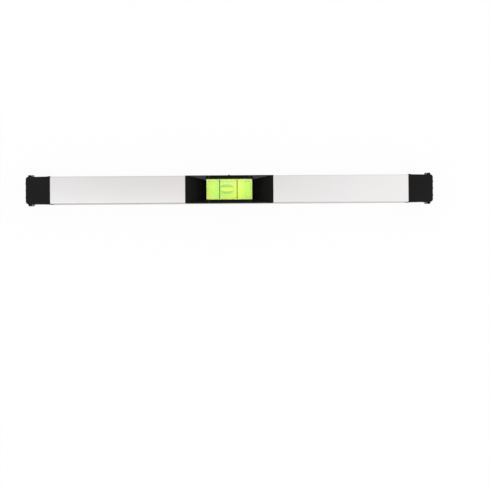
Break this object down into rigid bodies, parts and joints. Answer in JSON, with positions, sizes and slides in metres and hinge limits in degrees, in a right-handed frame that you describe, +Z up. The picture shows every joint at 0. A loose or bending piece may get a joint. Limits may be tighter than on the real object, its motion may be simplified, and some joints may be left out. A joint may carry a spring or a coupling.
{
  "type": "precision machinist level",
  "caption": "Short bar level with a top-reading bubble vial in a black centre housing and capped ends, for checking that a machine surface is horizontal.",
  "frame": {"origin": "middle of the base, where the level rests", "axes": "+X along the bar, +Y across it, +Z up out of the vial"},
  "size_m": [0.3, 0.023, 0.0203],
  "materials": {
    "satin_aluminium": "satin, fine lengthwise milling",
    "black_moulding": "smooth, slightly glossy moulding",
    "clear_acrylic": "polished clear acrylic",
    "vial_liquid": "clear yellow-green liquid",
    "air_bubble": "air",
    "dark_ink": "matt ink",
    "pale_plate": "matt",
    "setting_resin": "cast resin",
    "screw_steel": "zinc plated",
    "brass": "turned",
    "grey_plastic": "moulded",
    "black_rubber": "fine matt rubber",
    "pin_steel": "bright steel"
  },
  "bodies": {
    "level": {"bar_body": "satin_aluminium", "vial_housing": "black_moulding", "cheek_front": "black_moulding", "cheek_back": "black_moulding", "vial_block": "clear_acrylic", "vial_stopper": "clear_acrylic", "vial_liquid": "vial_liquid", "reading_line_left": "dark_ink", "reading_line_right": "dark_ink", "vial_reflector": "pale_plate", "vial_bed": "setting_resin", "housing_screws": "screw_steel", "housing_inserts": "brass", "end_core_left": "grey_plastic", "end_core_right": "grey_plastic", "end_cap_left": "black_rubber", "end_cap_right": "black_rubber", "cross_pin_left": "pin_steel", "cross_pin_right": "pin_steel"},
    "bubble": {"vial_bubble": "air_bubble"}
  },
  "joints": [
    {"name": "bubble_drift", "type": "slide", "parent": "level", "child": "bubble", "axis": [1, 0, 0], "range_m": [-0.008, 0.011], "stiffness_N_per_m": 0.002, "deforming": ["vial_liquid"]}
  ]
}
